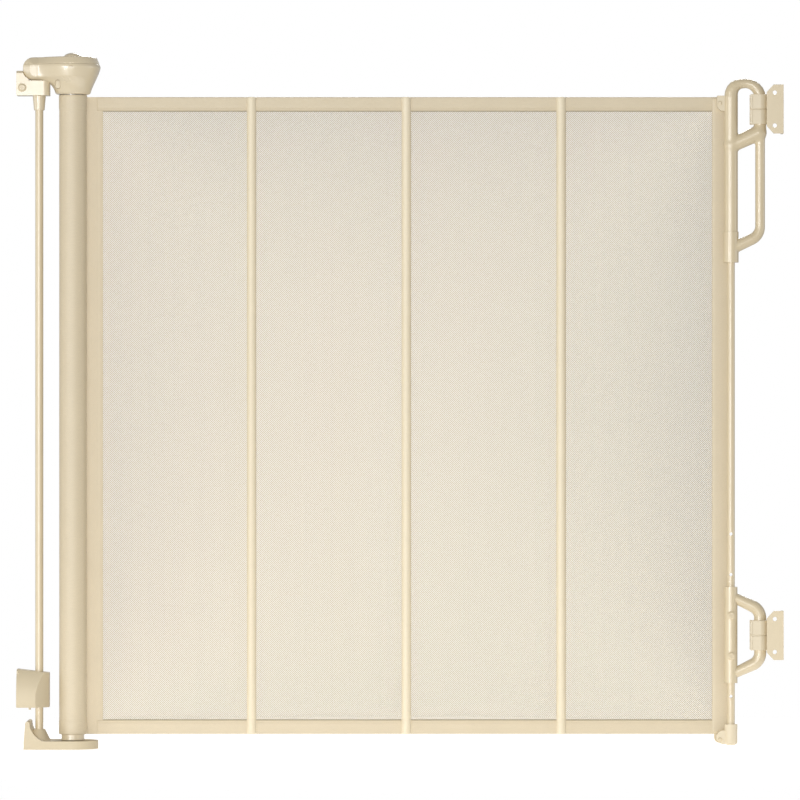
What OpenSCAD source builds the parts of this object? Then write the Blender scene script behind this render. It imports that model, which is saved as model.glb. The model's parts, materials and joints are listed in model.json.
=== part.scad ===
// Retractable mesh baby gate, drawn out across a doorway and hooked into its two catches.
// +X runs from the roller post to the pull bar, -Y faces the room and +Z is up.
// The origin is on the floor, midway between the walls and level with the roller's axis.

/* [Doorway] */
// Distance between the two walls
opening_w = 1000; // [940:10:1200]

/* [Sheet] */
// Height of the mesh sheet, hems included
sheet_h = 833; // [780:1:860]
// Gap between the floor and the sheet
sheet_gap = 17.7; // [17.7:0.1:24]
// Thickness of the cloth
cloth_t = 1; // [0.6:0.1:1]
// Height of each hem
hem_h = 18; // [12:1:24]
// Distance between stiffeners
stiffener_pitch = 202.5; // [160:0.5:220]
// Diameter of a stiffener's sleeve
stiffener_d = 12.7; // [10:0.1:13]

/* [Post] */
// Distance from the wall to the support rod's axis
rod_off = 29; // [29:0.5:34]
// Distance from the support rod's axis to the roller's axis
arm_l = 44; // [44:0.5:50]
// Diameter of the support rod
rod_d = 10.5; // [9:0.5:10.5]
// Diameter of the cloth wound on the roller
wrap_d = 37; // [35:0.5:37]
// Outer diameter of the roller tube
roller_d = 30; // [29:0.5:30]
// Widest diameter of the knob
knob_d = 72.6; // [70:0.1:74]

/* [Pull bar] */
// Distance from the wall to the pull rod's axis
bar_off = 68; // [68:0.5:74]
// How far the pull rod's axis lies behind the roller's axis
bar_y = 7; // [6:0.5:7]
// Diameter of the pull rod
pull_rod_d = 10; // [8:0.5:10]
// Diameter of the handle's tube on the pull rod
handle_d = 18; // [16:0.5:18]
// Diameter of the leg that the catches hold
leg_d = 16; // [14:0.5:16]
// Distance from the pull rod's axis to that leg's axis
leg_off = 38; // [38:0.5:40]
// Distance between the pull rod's adjustment holes
hole_pitch = 53; // [50:0.5:54]

/* [Catches] */
// Height of a catch's jaw
jaw_h = 39; // [30:1:42]
// Height of a catch's plate at the wall
catch_plate_h = 64; // [60:1:70]
// Distance between a catch plate's screw holes
catch_hole_pitch = 43; // [40:1:46]

/* [Rod clamp] */
// Height of the clamp that holds the rod's lower end
clamp_h = 49.7; // [44:0.1:56]

/* [Hidden] */
$fn = 64;
eps = 0.1;
fit = 0.05;        // radial clearance of pieces fixed together
run = 0.1;         // radial clearance of pieces that turn or slide
bead = 0.15;       // how far a welded corner stands out of its tubes
plate_t = 2.5;     // thickness of every steel plate

// Colours
paint = "#DCCFB0";
cloth = "#DDD0B5";
mesh = "#E9E1D0";
steel = "#B9BABC";
brass = "#C0A35E";
liner = "#B8AD93";

// Places along X
wall_l = -opening_w / 2;
wall_r = opening_w / 2;
rod_x = wall_l + rod_off;
roller_x = rod_x + arm_l;
bar_x = wall_r - bar_off;
leg_x = bar_x + leg_off;
edge_x = bar_x - 19;                     // where the stiffeners' pitch is counted from
stiffener_x = [for (i = [3, 2, 1]) edge_x - i * stiffener_pitch];

// Places along Y: the sheet leaves the roller at its back
wrap_r = wrap_d / 2;
sheet_front = wrap_r + 0.3;
sheet_y = sheet_front + cloth_t / 2;

// Heights
sheet_top = sheet_gap + sheet_h;
head_z = sheet_top + 2.3;                // underside of the knob
arm_z = head_z + 18;                     // underside of the arm
split_z = head_z + 39;                   // joint between the head's body and its cover
head_top = head_z + 48.5;
loop_z = sheet_top - 1.7;                // centre of the upper loop's arc
catch_z = [147.4, sheet_top - 16.7];     // middle of each catch

// Head and its lock
knob_r = knob_d / 2;
knob_foot_r = 23;
arm_end_r = 21;
cavity_r = 17;
web_z = head_z + 25;
web_t = 4;
lock_or = 14;
lock_ir = 8;
lock_teeth = 12;
tooth_h = 4;
crown_z = head_z + 9;                    // root of the roller's teeth
button_travel = 4;
button_r = 12.2;
button_h = 6.1;
leg_pin_r = 2.2;
leg_pin_orbit = 9.6;
axle_r = 4;
axle_low_z = 560;

// Foot
foot_h = 10.6;
foot_r = 33;
cheek_x = wall_l + 10.4;
spindle_r = 5;

// Pull bar
tube_r = handle_d / 2;
leg_r = leg_d / 2;
pull_rod_r = pull_rod_d / 2;
bolt_r = 2.1;
hole_r = bolt_r + run;
hole_z = [for (i = [0:4]) 67.5 + i * hole_pitch];
bolt_z = [hole_z[1], hole_z[2]];
sleeve_r = 8.5;
cap_z = 4.2;
arm_slope = 25;                          // slope of the welded arms, in degrees
collar_r = 10;
collar_z = loop_z - 215;
collar_h = 40.4;
rod_top = loop_z - 89;
rivet_z = [11, sheet_top - 8.7];
rivet_x = bar_x - 14.5;

// Catches
liner_r = leg_r + 0.3;
liner_t = 0.95;
jaw_ir = liner_r + liner_t + fit;
jaw_or = jaw_ir + 2;
jaw_depth = 13;                          // from the leg's axis to the jaw's mouth
screw_r = 2.75;                          // holes in a catch's face
wall_screw_r = 2.25;                     // holes in whatever lies against a wall

// ---- Shapes that repeat ----

module tube(r_out, r_in, h) {
    difference() {
        cylinder(r = r_out, h = h);
        translate([0, 0, -eps]) cylinder(r = r_in, h = h + 2 * eps);
    }
}

// Cylinder that starts at the origin and runs along +Y
module along_y(r, h) {
    rotate([-90, 0, 0]) cylinder(r = r, h = h);
}

// Cylinder that starts at the origin and runs along +X
module along_x(r, h) {
    rotate([0, 90, 0]) cylinder(r = r, h = h);
}

// Round bar between two points [x, z]
module bar(a, b, r1, r2) {
    d = b - a;
    translate([a.x, 0, a.y]) rotate([0, atan2(d.x, d.y), 0]) cylinder(r1 = r1, r2 = r2, h = norm(d));
}

// Round bar bent along an arc about centre [x, z]
module bend(centre, bend_r, r, from, sweep) {
    translate([centre.x, 0, centre.y]) rotate([90, 0, 0]) rotate([0, 0, from])
        rotate_extrude(angle = sweep) translate([bend_r, 0]) circle(r = r);
}

module ball(at, r) {
    translate([at.x, 0, at.y]) sphere(r = r);
}

// Low screw head on the face z = 0, with a cross recess
module screw_head(r) {
    difference() {
        union() {
            cylinder(r = r, h = 1.2);
            translate([0, 0, 1.2]) cylinder(r1 = r, r2 = r * 0.6, h = 1.4);
        }
        for (a = [0, 90]) rotate([0, 0, a]) translate([-r * 0.45, -0.5, 1.6]) cube([r * 0.9, 1, 2]);
    }
}

// Outline of the arm in plan: a round end over the roller's axis, straight sides that touch it, and a
// square end with rounded corners past the rod's axis, which is the origin
module arm_outline(r_rod, r_roller) {
    lean = acos((r_rod - r_roller) / arm_l);
    touch = [cos(lean), sin(lean)];
    flip = [cos(lean), -sin(lean)];
    corner_r = 10;
    corner_at = r_rod - corner_r;
    for (s = [-1, 1]) translate([-corner_at, s * corner_at]) circle(r = corner_r);
    translate([-r_rod, -corner_at]) square([r_rod, 2 * corner_at]);
    translate([-corner_at, -r_rod]) square([corner_at, 2 * r_rod]);
    translate([arm_l, 0]) circle(r = r_roller);
    polygon([r_rod * touch, r_rod * flip, [arm_l, 0] + r_roller * flip, [arm_l, 0] + r_roller * touch]);
}

// Teeth as ring sectors, a little inside the lock's two radii
module lock_teeth_ring(width, h) {
    inset = 0.3;
    for (i = [0:lock_teeth - 1])
        rotate([0, 0, i * 360 / lock_teeth - width / 2])
            rotate_extrude(angle = width)
                translate([lock_ir + inset, 0]) square([lock_or - lock_ir - 2 * inset, h]);
}

// Wire wound as a helix, swept as one closed polyhedron
module coil(mean_r, wire_r, turns, h) {
    sides = 6;
    steps = 12;
    rings = turns * steps;
    points = [
        for (i = [0:rings], j = [0:sides - 1])
            let (a = i * 360 / steps, b = j * 360 / sides, r = mean_r + wire_r * cos(b))
                [r * cos(a), r * sin(a), h * i / rings + wire_r * sin(b)]
    ];
    walls = [
        for (i = [0:rings - 1], j = [0:sides - 1])
            let (k = (j + 1) % sides)
                [i * sides + j, (i + 1) * sides + j, (i + 1) * sides + k, i * sides + k]
    ];
    ends = [[for (j = [0:sides - 1]) j], [for (j = [sides - 1:-1:0]) rings * sides + j]];
    polyhedron(points, concat(walls, ends));
}

// ---- Wall mounts of the post ----

block_depth = 16;                        // half the top block's depth
wall_plate_half = 13;
wall_screw_y = 8;
wall_screw_z = head_z + 19;
pocket_r = 4.5;

module top_wall_plate() {
    color(steel) difference() {
        translate([wall_l, -wall_plate_half, head_z])
            cube([plate_t, 2 * wall_plate_half, 27]);
        for (y = [-wall_screw_y, wall_screw_y])
            translate([wall_l - eps, y, wall_screw_z]) along_x(wall_screw_r, plate_t + 2 * eps);
    }
}

module top_mount_block() {
    shelf_l = 44;
    round_r = 9;
    upright_l = 16;
    upright_h = 13.4;
    bevel = 3;
    color(paint) difference() {
        union() {
            translate([wall_l, -block_depth, head_z - 1.6]) cube([shelf_l - round_r, 2 * block_depth, 19.4]);
            translate([wall_l, round_r - block_depth, head_z - 1.6])
                cube([shelf_l, 2 * (block_depth - round_r), 19.4]);
            for (s = [-1, 1])
                translate([wall_l + shelf_l - round_r, s * (block_depth - round_r), head_z - 1.6])
                    cylinder(r = round_r, h = 19.4);
            // upright that reaches round the arm's end, bevelled along its top
            translate([wall_l, 0, arm_z - 1]) rotate([90, 0, 90]) linear_extrude(upright_l) polygon([
                [-block_depth, 0], [block_depth, 0], [block_depth, upright_h - bevel],
                [block_depth - bevel, upright_h], [bevel - block_depth, upright_h],
                [-block_depth, upright_h - bevel]
            ]);
        }
        // seat of the wall plate, and room for its screws' heads
        translate([wall_l - eps, -wall_plate_half - fit, head_z - fit])
            cube([plate_t + eps + fit, 2 * (wall_plate_half + fit), 27 + 2 * fit]);
        for (y = [-wall_screw_y, wall_screw_y])
            translate([wall_l, y, wall_screw_z]) along_x(pocket_r, 6);
        // support rod
        translate([rod_x, 0, head_z - 5]) cylinder(r = rod_d / 2 + fit, h = 30);
        // lock screw
        translate([wall_l + 7.6, -block_depth - eps, head_z + 8.4]) along_y(2 + fit, 14);
        // clear of the knob and the arm
        translate([roller_x, 0, head_z - 5]) cylinder(r = arm_end_r + 11.2, h = 30);
        arm_side(0.3);
    }
}

module block_lock_screw() {
    color(steel) translate([wall_l + 7.6, -block_depth, head_z + 8.4]) {
        rotate([90, 0, 0]) screw_head(5.5);
        along_y(2, 13);
    }
}

module rod_ferrule() {
    color(paint) difference() {
        translate([rod_x, 0, head_z - 20.5]) cylinder(r1 = 6.9, r2 = 8.6, h = 18.9);
        translate([rod_x, 0, head_z - 25]) cylinder(r = rod_d / 2 + fit, h = 30);
    }
}

module support_rod() {
    color(paint) difference() {
        translate([rod_x, 0, 6]) cylinder(d = rod_d, h = arm_z + 15 - 6);
        translate([rod_x, 0, 6 - eps]) cylinder(r = 2.5 + fit, h = 14);
    }
}

// ---- Clamp on the lower end of the rod ----

clamp_z = 53.9;
clamp_back = 16;
clamp_front_r = 62;
clamp_screw_z = [clamp_z + clamp_h * 0.2, clamp_z + clamp_h * 0.8];
clamp_plate_half = 12;

module rod_clamp() {
    clamp_l = 42;
    belly = [40, clamp_z + 10];          // centre of the front's curve, as [y, z]
    color(paint) difference() {
        intersection() {
            translate([wall_l, -24, clamp_z]) cube([clamp_l, 24 + clamp_back, clamp_h]);
            translate([wall_l, belly.x, belly.y]) along_x(clamp_front_r, clamp_l);
        }
        // sloping top
        translate([wall_l, -30, clamp_z + clamp_h]) rotate([0, 6.4, 0]) cube([60, 60, 20]);
        // bevelled front corner
        translate([wall_l + clamp_l, -5, clamp_z - eps]) rotate([0, 0, 45])
            translate([-40, -40, 0]) cube([80, 40, clamp_h + 1]);
        // seat of the wall plate, and room for its screws' heads
        translate([wall_l - eps, -clamp_plate_half - fit, clamp_z + 2 - fit])
            cube([plate_t + eps + fit, 2 * (clamp_plate_half + fit), clamp_h - 4 + 2 * fit]);
        for (z = clamp_screw_z) translate([wall_l, 0, z]) along_x(pocket_r, 7.5);
        // support rod and set screw
        translate([rod_x, 0, clamp_z - 1]) cylinder(r = rod_d / 2 + run, h = clamp_h + 2);
        translate([wall_l + 16.5, 0, clamp_z - 1]) cylinder(r = 1.5 + fit, h = 26);
    }
}

module clamp_wall_plate() {
    color(steel) difference() {
        translate([wall_l, -clamp_plate_half, clamp_z + 2])
            cube([plate_t, 2 * clamp_plate_half, clamp_h - 4]);
        for (z = clamp_screw_z) translate([wall_l - eps, 0, z]) along_x(wall_screw_r, plate_t + 2 * eps);
    }
}

module clamp_set_screw() {
    color(steel) translate([wall_l + 16.5, 0, clamp_z - 3.5]) cylinder(r = 1.5, h = 27);
}

// ---- Foot ----

module foot_arm() {
    tip_r = 2.9;
    tip = [wall_l + 15.4, 33.6];         // centre of the cheek's rounded top, as [x, z]
    cove_r = 27;
    cove = [wall_l + 45, 36];
    color(paint) difference() {
        union() {
            translate([roller_x, 0, 0]) cylinder(r = foot_r, h = foot_h);
            translate([cheek_x, -foot_r, 0]) cube([roller_x - cheek_x, 2 * foot_r, foot_h]);
            translate([rod_x, 0, foot_h - eps]) cylinder(r1 = 15, r2 = 7.5, h = 14.8);
            translate([0, foot_r, 0]) rotate([90, 0, 0]) linear_extrude(2 * foot_r) difference() {
                union() {
                    polygon([
                        [cheek_x, foot_h - 1], [cove.x, foot_h - 1], tip + [tip_r, 0], tip - [tip_r, 0]
                    ]);
                    translate(tip) circle(r = tip_r);
                }
                translate(cove) circle(r = cove_r);
            }
        }
        translate([rod_x, 0, 6 - fit]) cylinder(r = rod_d / 2 + fit, h = 40);
        translate([rod_x, 0, -eps]) cylinder(r = 2.5 + fit, h = 10);
        translate([rod_x, 0, -eps]) cylinder(r = 5, h = 3 + eps);
        translate([roller_x, 0, 4]) cylinder(r = spindle_r + fit, h = foot_h);
    }
}

module foot_screw() {
    color(steel) translate([rod_x, 0, 0.4]) {
        cylinder(r = 4.8, h = 2.6);
        cylinder(r = 2.5, h = 18);
    }
}

module lower_spindle() {
    color(steel) translate([roller_x, 0, 4 + fit]) cylinder(r = spindle_r, h = 30);
}

module lower_bearing() {
    color(liner) translate([roller_x, 0, foot_h + 2]) tube(8, spindle_r + run, 20);
}

// ---- Head ----

// Knob's half section, up to the joint with the cover
module knob_section() {
    polygon([
        [0, head_z], [knob_foot_r - 1, head_z], [knob_foot_r, head_z + 1.5], [knob_r - 6.3, head_z + 15],
        [knob_r - 1.2, head_z + 30], [knob_r, head_z + 36], [knob_r, split_z], [0, split_z]
    ]);
}

// The arm as it looks from the side: level above and below, with a round end
module arm_side(grow) {
    side_r = (head_top - arm_z) / 2;
    translate([rod_x - arm_end_r + side_r, -40, arm_z + side_r]) {
        along_y(side_r + grow, 80);
        translate([0, 0, -side_r - grow]) cube([120, 80, 2 * (side_r + grow)]);
    }
}

module head_body() {
    indicator = [roller_x - 18.7, head_z + 12.6];
    color(paint) difference() {
        union() {
            translate([roller_x, 0, 0]) rotate_extrude() knob_section();
            intersection() {
                translate([rod_x, 0, arm_z]) linear_extrude(split_z - arm_z)
                    arm_outline(arm_end_r, knob_r - 3);
                arm_side(0);
            }
        }
        translate([roller_x, 0, head_z - eps]) cylinder(r = cavity_r, h = web_z - head_z + eps);
        translate([roller_x, 0, web_z + web_t]) cylinder(r = cavity_r, h = 20);
        translate([roller_x, 0, web_z - 1]) cylinder(r = axle_r + fit, h = 10);
        for (a = [0, 120, 240]) rotate_about_roller(a) translate([leg_pin_orbit, 0, web_z - 1])
            cylinder(r = leg_pin_r + 0.4, h = 10);
        translate([rod_x, 0, arm_z - 1]) cylinder(r = rod_d / 2 + fit, h = 16.1);
        head_screw_places() translate([0, 0, -20]) cylinder(r = 1.5 + fit, h = 40);
        head_screw_places() translate([0, 0, -40]) cylinder(r = 3, h = 32);
        translate([indicator.x, -knob_r, indicator.y]) rotate([-90, 0, 0]) linear_extrude(20)
            indicator_outline(fit);
    }
}

module rotate_about_roller(a) {
    translate([roller_x, 0, 0]) rotate([0, 0, a]) children();
}

// The two places on the joint where screws hold the cover
module head_screw_places() {
    for (p = [[roller_x + 26, 0], [rod_x - 12, 0]]) translate([p.x, p.y, split_z]) children();
}

// Upright window with round ends, drawn about its middle
module indicator_outline(grow) {
    for (s = [-1, 1]) translate([0, s * 2.6]) circle(r = 2.9 + grow);
    translate([-2.9 - grow, -2.6]) square([2 * (2.9 + grow), 5.2]);
}

module lock_indicator() {
    color(liner) translate([roller_x - 18.7, -19.9, head_z + 12.6]) rotate([-90, 0, 0])
        linear_extrude(3) indicator_outline(0);
}

module head_cover() {
    rim_h = 4;
    step = 0.15;                         // how far the faceted top stands in from the rim
    color(paint) difference() {
        intersection() {
            union() {
                translate([rod_x, 0, split_z]) linear_extrude(rim_h)
                    arm_outline(arm_end_r, knob_r - 0.6);
                translate([rod_x, 0, split_z + rim_h - 0.5]) hull() {
                    linear_extrude(0.5) arm_outline(arm_end_r - step, knob_r - 0.6 - step, $fn = 48);
                    translate([0, 0, 3.5]) linear_extrude(0.5)
                        arm_outline(arm_end_r - 2.2, knob_r - 2.6, $fn = 48);
                    translate([0, 0, 5.5]) linear_extrude(0.5)
                        arm_outline(arm_end_r - 5.5, knob_r - 6, $fn = 48);
                }
            }
            arm_side(0);
        }
        translate([roller_x, 0, split_z - 1]) cylinder(r = button_r + 0.4, h = 20);
        head_screw_places() translate([0, 0, -1]) cylinder(r = 1.5, h = 6);
    }
}

module head_screws() {
    color(steel) head_screw_places() {
        translate([0, 0, -8 - 2.4]) cylinder(r = 2.8, h = 2.4);
        translate([0, 0, -8]) cylinder(r = 1.5 - fit, h = 12.5);
    }
}

// ---- Lock ----

module release_button() {
    body_h = head_top - split_z;
    color(paint) translate([roller_x, 0, split_z]) {
        rotate_extrude() polygon(concat(
            [[0, 0], [button_r, 0], [button_r, body_h]],
            [for (a = [20:14:76]) [button_r * cos(a), body_h + button_h * sin(a)]],
            [[0, body_h + button_h]]
        ));
        for (a = [0, 120, 240]) rotate([0, 0, a]) translate([leg_pin_orbit, 0, -21])
            cylinder(r = leg_pin_r, h = 21 + eps);
    }
}

module lock_ring() {
    ring_z = crown_z + tooth_h + 0.8;
    color(steel) translate([roller_x, 0, ring_z]) {
        lock_teeth_ring(12, tooth_h + eps);
        translate([0, 0, tooth_h]) tube(lock_or, lock_ir, split_z - 21 - ring_z - tooth_h);
    }
}

module button_spring() {
    color(steel) translate([roller_x, 0, web_z + web_t + 1.2]) coil(6, 0.7, 4, split_z - web_z - web_t - 2.4);
}

module lock_crown() {
    color(steel) rotate_about_roller(360 / lock_teeth / 2) {
        translate([0, 0, head_z - 0.4]) tube(lock_or, lock_ir, crown_z - head_z + 0.4);
        translate([0, 0, crown_z - eps]) lock_teeth_ring(14, tooth_h + eps);
    }
}

// ---- Spring roller ----

module spring_axle() {
    color(steel) translate([roller_x, 0, axle_low_z]) cylinder(r = axle_r, h = web_z + web_t - axle_low_z);
}

module torsion_spring() {
    color(steel) translate([roller_x, 0, axle_low_z + 40]) coil(8, 1.1, 20, 210);
}

module spring_anchor() {
    color(liner) translate([roller_x, 0, axle_low_z + 14])
        tube(roller_d / 2 - 1.5 - fit, axle_r + run, 22);
}

module top_bearing() {
    color(liner) translate([roller_x, 0, sheet_top - 24]) tube(7 - fit, axle_r + run, 34);
}

module roller_tube() {
    color(steel) translate([roller_x, 0, 21]) tube(roller_d / 2, roller_d / 2 - 1.5, sheet_top - 1 - 21);
}

module roller_top_plug() {
    color(liner) translate([roller_x, 0, 0]) {
        translate([0, 0, sheet_top - 26]) tube(roller_d / 2 - 1.5 - fit, 7, 25.5);
        translate([0, 0, sheet_top - 1]) tube(roller_d / 2, 7, 2.7);
    }
}

module roller_bottom_plug() {
    color(liner) translate([roller_x, 0, 0]) {
        translate([0, 0, foot_h + 0.6]) tube(roller_d / 2, 8 + fit, 21 - foot_h - 0.6);
        translate([0, 0, 20.9]) tube(roller_d / 2 - 1.5 - fit, 8 + fit, 16);
    }
}

module sheet_wrap() {
    color(cloth) translate([roller_x, 0, sheet_gap + 1])
        tube(wrap_r, roller_d / 2 + fit, sheet_top + 1.6 - sheet_gap - 1);
}

// ---- Sheet ----

sleeve_gap = 0.2;                        // between a panel and the sleeve it is sewn to
edge_sleeve_l = 20;
edge_sleeve_x = bar_x - 24.5;
leader_end = roller_x + 38;

module sheet_strip(x0, x1) {
    translate([x0, sheet_front, sheet_gap]) cube([x1 - x0, cloth_t, sheet_h]);
    for (z = [sheet_gap, sheet_top - hem_h])
        translate([x0, sheet_front, z]) cube([x1 - x0, 2 * cloth_t, hem_h]);
}

module leader_panel() {
    color(cloth) translate([roller_x, sheet_front, sheet_gap])
        cube([leader_end - roller_x, cloth_t, sheet_h]);
}

// Mesh between one upright and the next; 0 is the leader and 4 the edge sleeve
module mesh_panel(i) {
    sleeve_edge = stiffener_d / 2 + sleeve_gap;
    x0 = i == 0 ? leader_end + fit : stiffener_x[i - 1] + sleeve_edge;
    x1 = i == 3 ? edge_sleeve_x - sleeve_gap : stiffener_x[i] - sleeve_edge;
    color(mesh) sheet_strip(x0, x1);
}
module mesh_panel_1() { mesh_panel(0); }
module mesh_panel_2() { mesh_panel(1); }
module mesh_panel_3() { mesh_panel(2); }
module mesh_panel_4() { mesh_panel(3); }

stiffener_core_r = 4.5;

module stiffener_rod(i) {
    color(steel) translate([stiffener_x[i], sheet_y, sheet_gap + 5])
        cylinder(r = stiffener_core_r, h = sheet_h - 10);
}
module stiffener_rod_1() { stiffener_rod(0); }
module stiffener_rod_2() { stiffener_rod(1); }
module stiffener_rod_3() { stiffener_rod(2); }

module stiffener_sleeve(i) {
    color(cloth) translate([stiffener_x[i], sheet_y, sheet_gap])
        tube(stiffener_d / 2, stiffener_core_r + fit, sheet_h);
}
module stiffener_sleeve_1() { stiffener_sleeve(0); }
module stiffener_sleeve_2() { stiffener_sleeve(1); }
module stiffener_sleeve_3() { stiffener_sleeve(2); }

edge_bar_l = 14;
edge_bar_t = 3;
edge_bar_x = edge_sleeve_x + 3;

module edge_sleeve() {
    color(cloth) difference() {
        translate([edge_sleeve_x, sheet_y - 2.5, sheet_gap]) cube([edge_sleeve_l, 5, sheet_h]);
        translate([edge_bar_x - fit, sheet_y - edge_bar_t / 2 - fit, 0])
            cube([edge_bar_l + 2 * fit, edge_bar_t + 2 * fit, sheet_top + 20]);
        rivet_places() along_y(1.5 + fit, 60);
    }
}

module edge_bar() {
    bar_z = cap_z + 2;
    corner_r = 7;                        // round of its low corner, on the net's side
    color(steel) difference() {
        translate([edge_bar_x, sheet_y - edge_bar_t / 2, bar_z]) union() {
            translate([0, 0, corner_r]) cube([edge_bar_l, edge_bar_t, sheet_top - 1 - bar_z - corner_r]);
            translate([corner_r, 0, corner_r]) along_y(corner_r, edge_bar_t);
            translate([corner_r, 0, 0]) cube([edge_bar_l - corner_r, edge_bar_t, corner_r + eps]);
        }
        rivet_places() along_y(1.5 + fit, 60);
    }
}

module rivet_places() {
    for (z = rivet_z) translate([rivet_x, -20, z]) children();
}

module edge_rivets() {
    clip_front = bar_y - 4;
    back = [sheet_y + edge_bar_t / 2, sheet_y + 2.5];
    color(steel) for (i = [0, 1]) translate([rivet_x, 0, rivet_z[i]]) {
        translate([0, clip_front, 0]) along_y(1.5, back[i] - clip_front + eps);
        translate([0, clip_front, 0]) rotate([90, 0, 0]) cylinder(r1 = 3, r2 = 2, h = 1);
        translate([0, back[i], 0]) rotate([-90, 0, 0]) cylinder(r1 = 3, r2 = 2, h = 1);
    }
}

// ---- Pull bar ----

// Everything on the pull bar is drawn about the rod's own plane
module on_bar() {
    translate([0, bar_y, 0]) children();
}

module bolt_holes(r) {
    for (z = hole_z) translate([bar_x, -20, z]) along_y(r, 40);
}

module pull_rod() {
    color(paint) on_bar() difference() {
        translate([bar_x, 0, cap_z + 3]) tube(pull_rod_r, pull_rod_r - 1.4, rod_top - cap_z - 3);
        bolt_holes(hole_r);
    }
}

// Quarter-round tab that holds the edge bar, its round corner low and away from the rod
module sheet_tab(z, l, h) {
    round_r = l - 1;
    front = -4;
    back = sheet_y - 2.5 - bar_y - fit;
    difference() {
        translate([bar_x - tube_r - l, back, z]) rotate([90, 0, 0]) linear_extrude(back - front) {
            translate([0, round_r]) square([l + 6, h - round_r]);
            translate([l, 0]) square([6, h]);
            translate([round_r, round_r]) circle(r = round_r);
            translate([round_r, 0]) square([l - round_r, h]);
        }
        rivet_places() along_y(1.5 + fit, 60);
    }
}

module top_sheet_clip() {
    color(cloth) on_bar() difference() {
        sheet_tab(sheet_top - 18.7, 9, 20);
        translate([bar_x, 0, sheet_top - 25]) cylinder(r = tube_r + fit, h = 40);
    }
}

module bottom_cap() {
    chamfer = 2.6;
    color(cloth) on_bar() difference() {
        union() {
            translate([bar_x, 0, cap_z]) cylinder(r1 = sleeve_r - chamfer, r2 = sleeve_r, h = chamfer);
            translate([bar_x, 0, cap_z + chamfer]) cylinder(r = sleeve_r, h = 27 - chamfer);
            difference() {
                sheet_tab(cap_z + 1, 10, 12.3);
                translate([bar_x, 0, 0]) cylinder(r = sleeve_r - 1, h = 40);
            }
        }
        translate([bar_x, 0, cap_z + 3 - fit]) cylinder(r = pull_rod_r + fit, h = 40);
    }
}

// Upper loop: tube on the pull rod, round the top, down through the upper catch and back to the tube
loop_arc_r = leg_off / 2;
loop_top_r = 6.2;
weld_r = 10.5;
weld_z = loop_z - 62.5;                  // where the return arm's axis meets the tube's axis
corner_z = weld_z + leg_off * tan(arm_slope);

module handle_loop() {
    color(paint) on_bar() difference() {
        union() {
            bar([bar_x, collar_z + 2], [bar_x, loop_z - 25], tube_r, tube_r);
            bar([bar_x, loop_z - 25], [bar_x, loop_z], tube_r, tube_r - 1);
            ball([bar_x, loop_z], tube_r - 1 + bead);
            bend([bar_x + loop_arc_r, loop_z], loop_arc_r, loop_top_r, 0, 180);
            ball([leg_x, loop_z], leg_r - 0.6 + bead);
            bar([leg_x, corner_z], [leg_x, loop_z - 6], leg_r, leg_r);
            bar([leg_x, loop_z - 6], [leg_x, loop_z], leg_r, leg_r - 0.6);
            ball([leg_x, corner_z], weld_r + bead);
            bar([bar_x, weld_z], [leg_x, corner_z], tube_r - 0.5, weld_r);
        }
        translate([bar_x, 0, collar_z]) cylinder(r = pull_rod_r + fit, h = rod_top + fit - collar_z);
    }
}

// Hand grip: from the upper loop's return arm down and back into the collar
grip_r = 6.35;
grip_arm_r = 7.9;
grip_bend_r = 24;
grip_turn = 90 - arm_slope;
grip_low_z = loop_z - 162;               // where the grip's upright ends

module hand_grip() {
    bend_at = [leg_x - grip_bend_r, grip_low_z];
    bend_end = bend_at + grip_bend_r * [cos(grip_turn), -sin(grip_turn)];
    into_collar = bend_end - (bend_end.x - bar_x) * [1, tan(arm_slope)];
    color(paint) on_bar() difference() {
        union() {
            bar([leg_x, grip_low_z], [leg_x, corner_z - 4], grip_r, grip_r);
            ball([leg_x, grip_low_z], grip_r + bead);
            bend(bend_at, grip_bend_r, grip_r, -grip_turn, grip_turn);
            ball(bend_end, grip_r + bead);
            bar(bend_end, into_collar, grip_r, grip_arm_r);
        }
        translate([bar_x, 0, collar_z - 20]) cylinder(r = collar_r + fit, h = 90);
        bar([bar_x, weld_z], [leg_x, corner_z], tube_r - 0.5 + fit, weld_r + fit);
        ball([leg_x, corner_z], weld_r + bead + fit);
    }
}

module handle_collar() {
    color(paint) on_bar() difference() {
        translate([bar_x, 0, collar_z]) cylinder(r = collar_r, h = collar_h);
        translate([bar_x, 0, collar_z - eps]) cylinder(r = pull_rod_r + fit, h = 4);
        translate([bar_x, 0, collar_z + 2 - fit]) cylinder(r = tube_r + fit, h = collar_h);
    }
}

// Lower loop: bolted to two of the pull rod's holes
lower_sleeve_z = 85;
lower_sleeve_h = 125.5;
lower_arm_z = [95.6, 198.2];              // where each arm's axis meets the rod's axis

module lower_sleeve() {
    color(paint) on_bar() difference() {
        translate([bar_x, 0, lower_sleeve_z]) tube(sleeve_r, pull_rod_r + fit, lower_sleeve_h);
        for (z = bolt_z) translate([bar_x, -20, z]) along_y(hole_r, 40);
    }
}

module lower_loop() {
    rise = leg_off * tan(arm_slope);
    low = [leg_x, lower_arm_z[0] + rise];
    high = [leg_x, lower_arm_z[1] - rise];
    color(paint) on_bar() difference() {
        union() {
            bar([bar_x, lower_arm_z[0]], low, leg_r, leg_r);
            ball(low, leg_r + bead);
            bar(low, high, leg_r, leg_r);
            ball(high, leg_r + bead);
            bar(high, [bar_x, lower_arm_z[1]], leg_r, leg_r);
        }
        translate([bar_x, 0, 0]) cylinder(r = sleeve_r + fit, h = 300);
    }
}

module lower_loop_bolts() {
    color(steel) on_bar() for (z = bolt_z) translate([bar_x, -sleeve_r, z]) {
        rotate([90, 0, 0]) screw_head(5.5);
        along_y(bolt_r, 2 * sleeve_r + 4);
    }
}

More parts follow.
